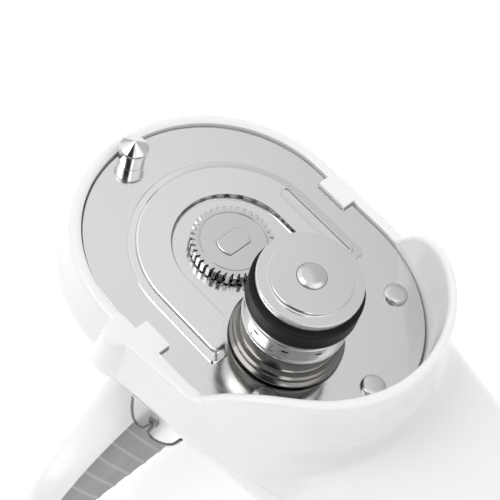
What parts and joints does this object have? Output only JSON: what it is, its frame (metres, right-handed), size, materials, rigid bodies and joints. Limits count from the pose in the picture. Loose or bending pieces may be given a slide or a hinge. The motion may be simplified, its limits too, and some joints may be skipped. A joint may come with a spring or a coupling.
{
  "type": "manual can opener",
  "caption": "Side-cutting hand can opener: white two-part handle and head, steel face with toothed drive wheel, swing-in cutter roller and a ribbed turning key.",
  "frame": {"origin": "centre of the drive shaft's flat outer end, on the drive axis", "axes": "+Z along the drive axis, out of the steel face of the head; +X from the head to the handle end; +Y across the head, away from the crown-cap insert"},
  "size_m": [0.2048, 0.0894, 0.0643],
  "materials": {
    "white_shell": "glossy moulded",
    "face_steel": "polished, bright",
    "pad_steel": "pressed and polished",
    "turned_steel": "turned and polished",
    "gear_steel": "machined",
    "plain_steel": "plain zinc-plated",
    "chrome_insert": "bright chrome",
    "grip_grey": "soft-touch, ribbed",
    "black_rubber": "satin rubber",
    "bearing_plastic": "moulded acetal"
  },
  "bodies": {
    "housing": {"front_housing": "white_shell", "rear_housing": "white_shell", "base_plate": "face_steel", "rim_pad": "pad_steel", "tip_pin": "turned_steel", "plate_rivet_1": "turned_steel", "plate_rivet_2": "turned_steel", "plate_rivet_3": "turned_steel", "shaft_bush_front": "bearing_plastic", "shaft_bush_rear": "bearing_plastic", "housing_screw_1": "plain_steel", "housing_screw_2": "plain_steel", "housing_screw_3": "plain_steel", "housing_screw_4": "plain_steel", "crown_cap_insert": "chrome_insert"},
    "crank": {"drive_shaft": "gear_steel", "drive_wheel": "gear_steel", "friction_hub": "plain_steel", "friction_ring": "black_rubber", "wave_washer": "plain_steel", "thrust_washer": "bearing_plastic", "crank_shell": "white_shell", "crank_grip_front": "grip_grey", "crank_grip_rear": "grip_grey", "crank_screw": "plain_steel", "crank_screw_cap": "white_shell"},
    "cutter_cam": {"cam_carrier": "plain_steel", "cutter_spindle": "turned_steel", "cam_washer": "bearing_plastic"},
    "cutter_roller": {"cutter_wheel": "turned_steel", "cutter_hub": "turned_steel", "steel_ring": "turned_steel", "rubber_ring": "black_rubber", "roller_cap": "turned_steel"}
  },
  "joints": [
    {"name": "key_turn", "type": "hinge", "parent": "housing", "child": "crank", "pos_m": [0, 0, 0], "axis": [0, 0, 1], "continuous": true},
    {"name": "cutter_swing", "type": "hinge", "parent": "housing", "child": "cutter_cam", "pos_m": [0.01629, -0.00424, 0], "axis": [0, 0, 1], "range_deg": [0, 90]},
    {"name": "roller_spin", "type": "hinge", "parent": "cutter_cam", "child": "cutter_roller", "pos_m": [0.01718, -0.00413, 0], "axis": [0, 0, 1], "continuous": true}
  ]
}
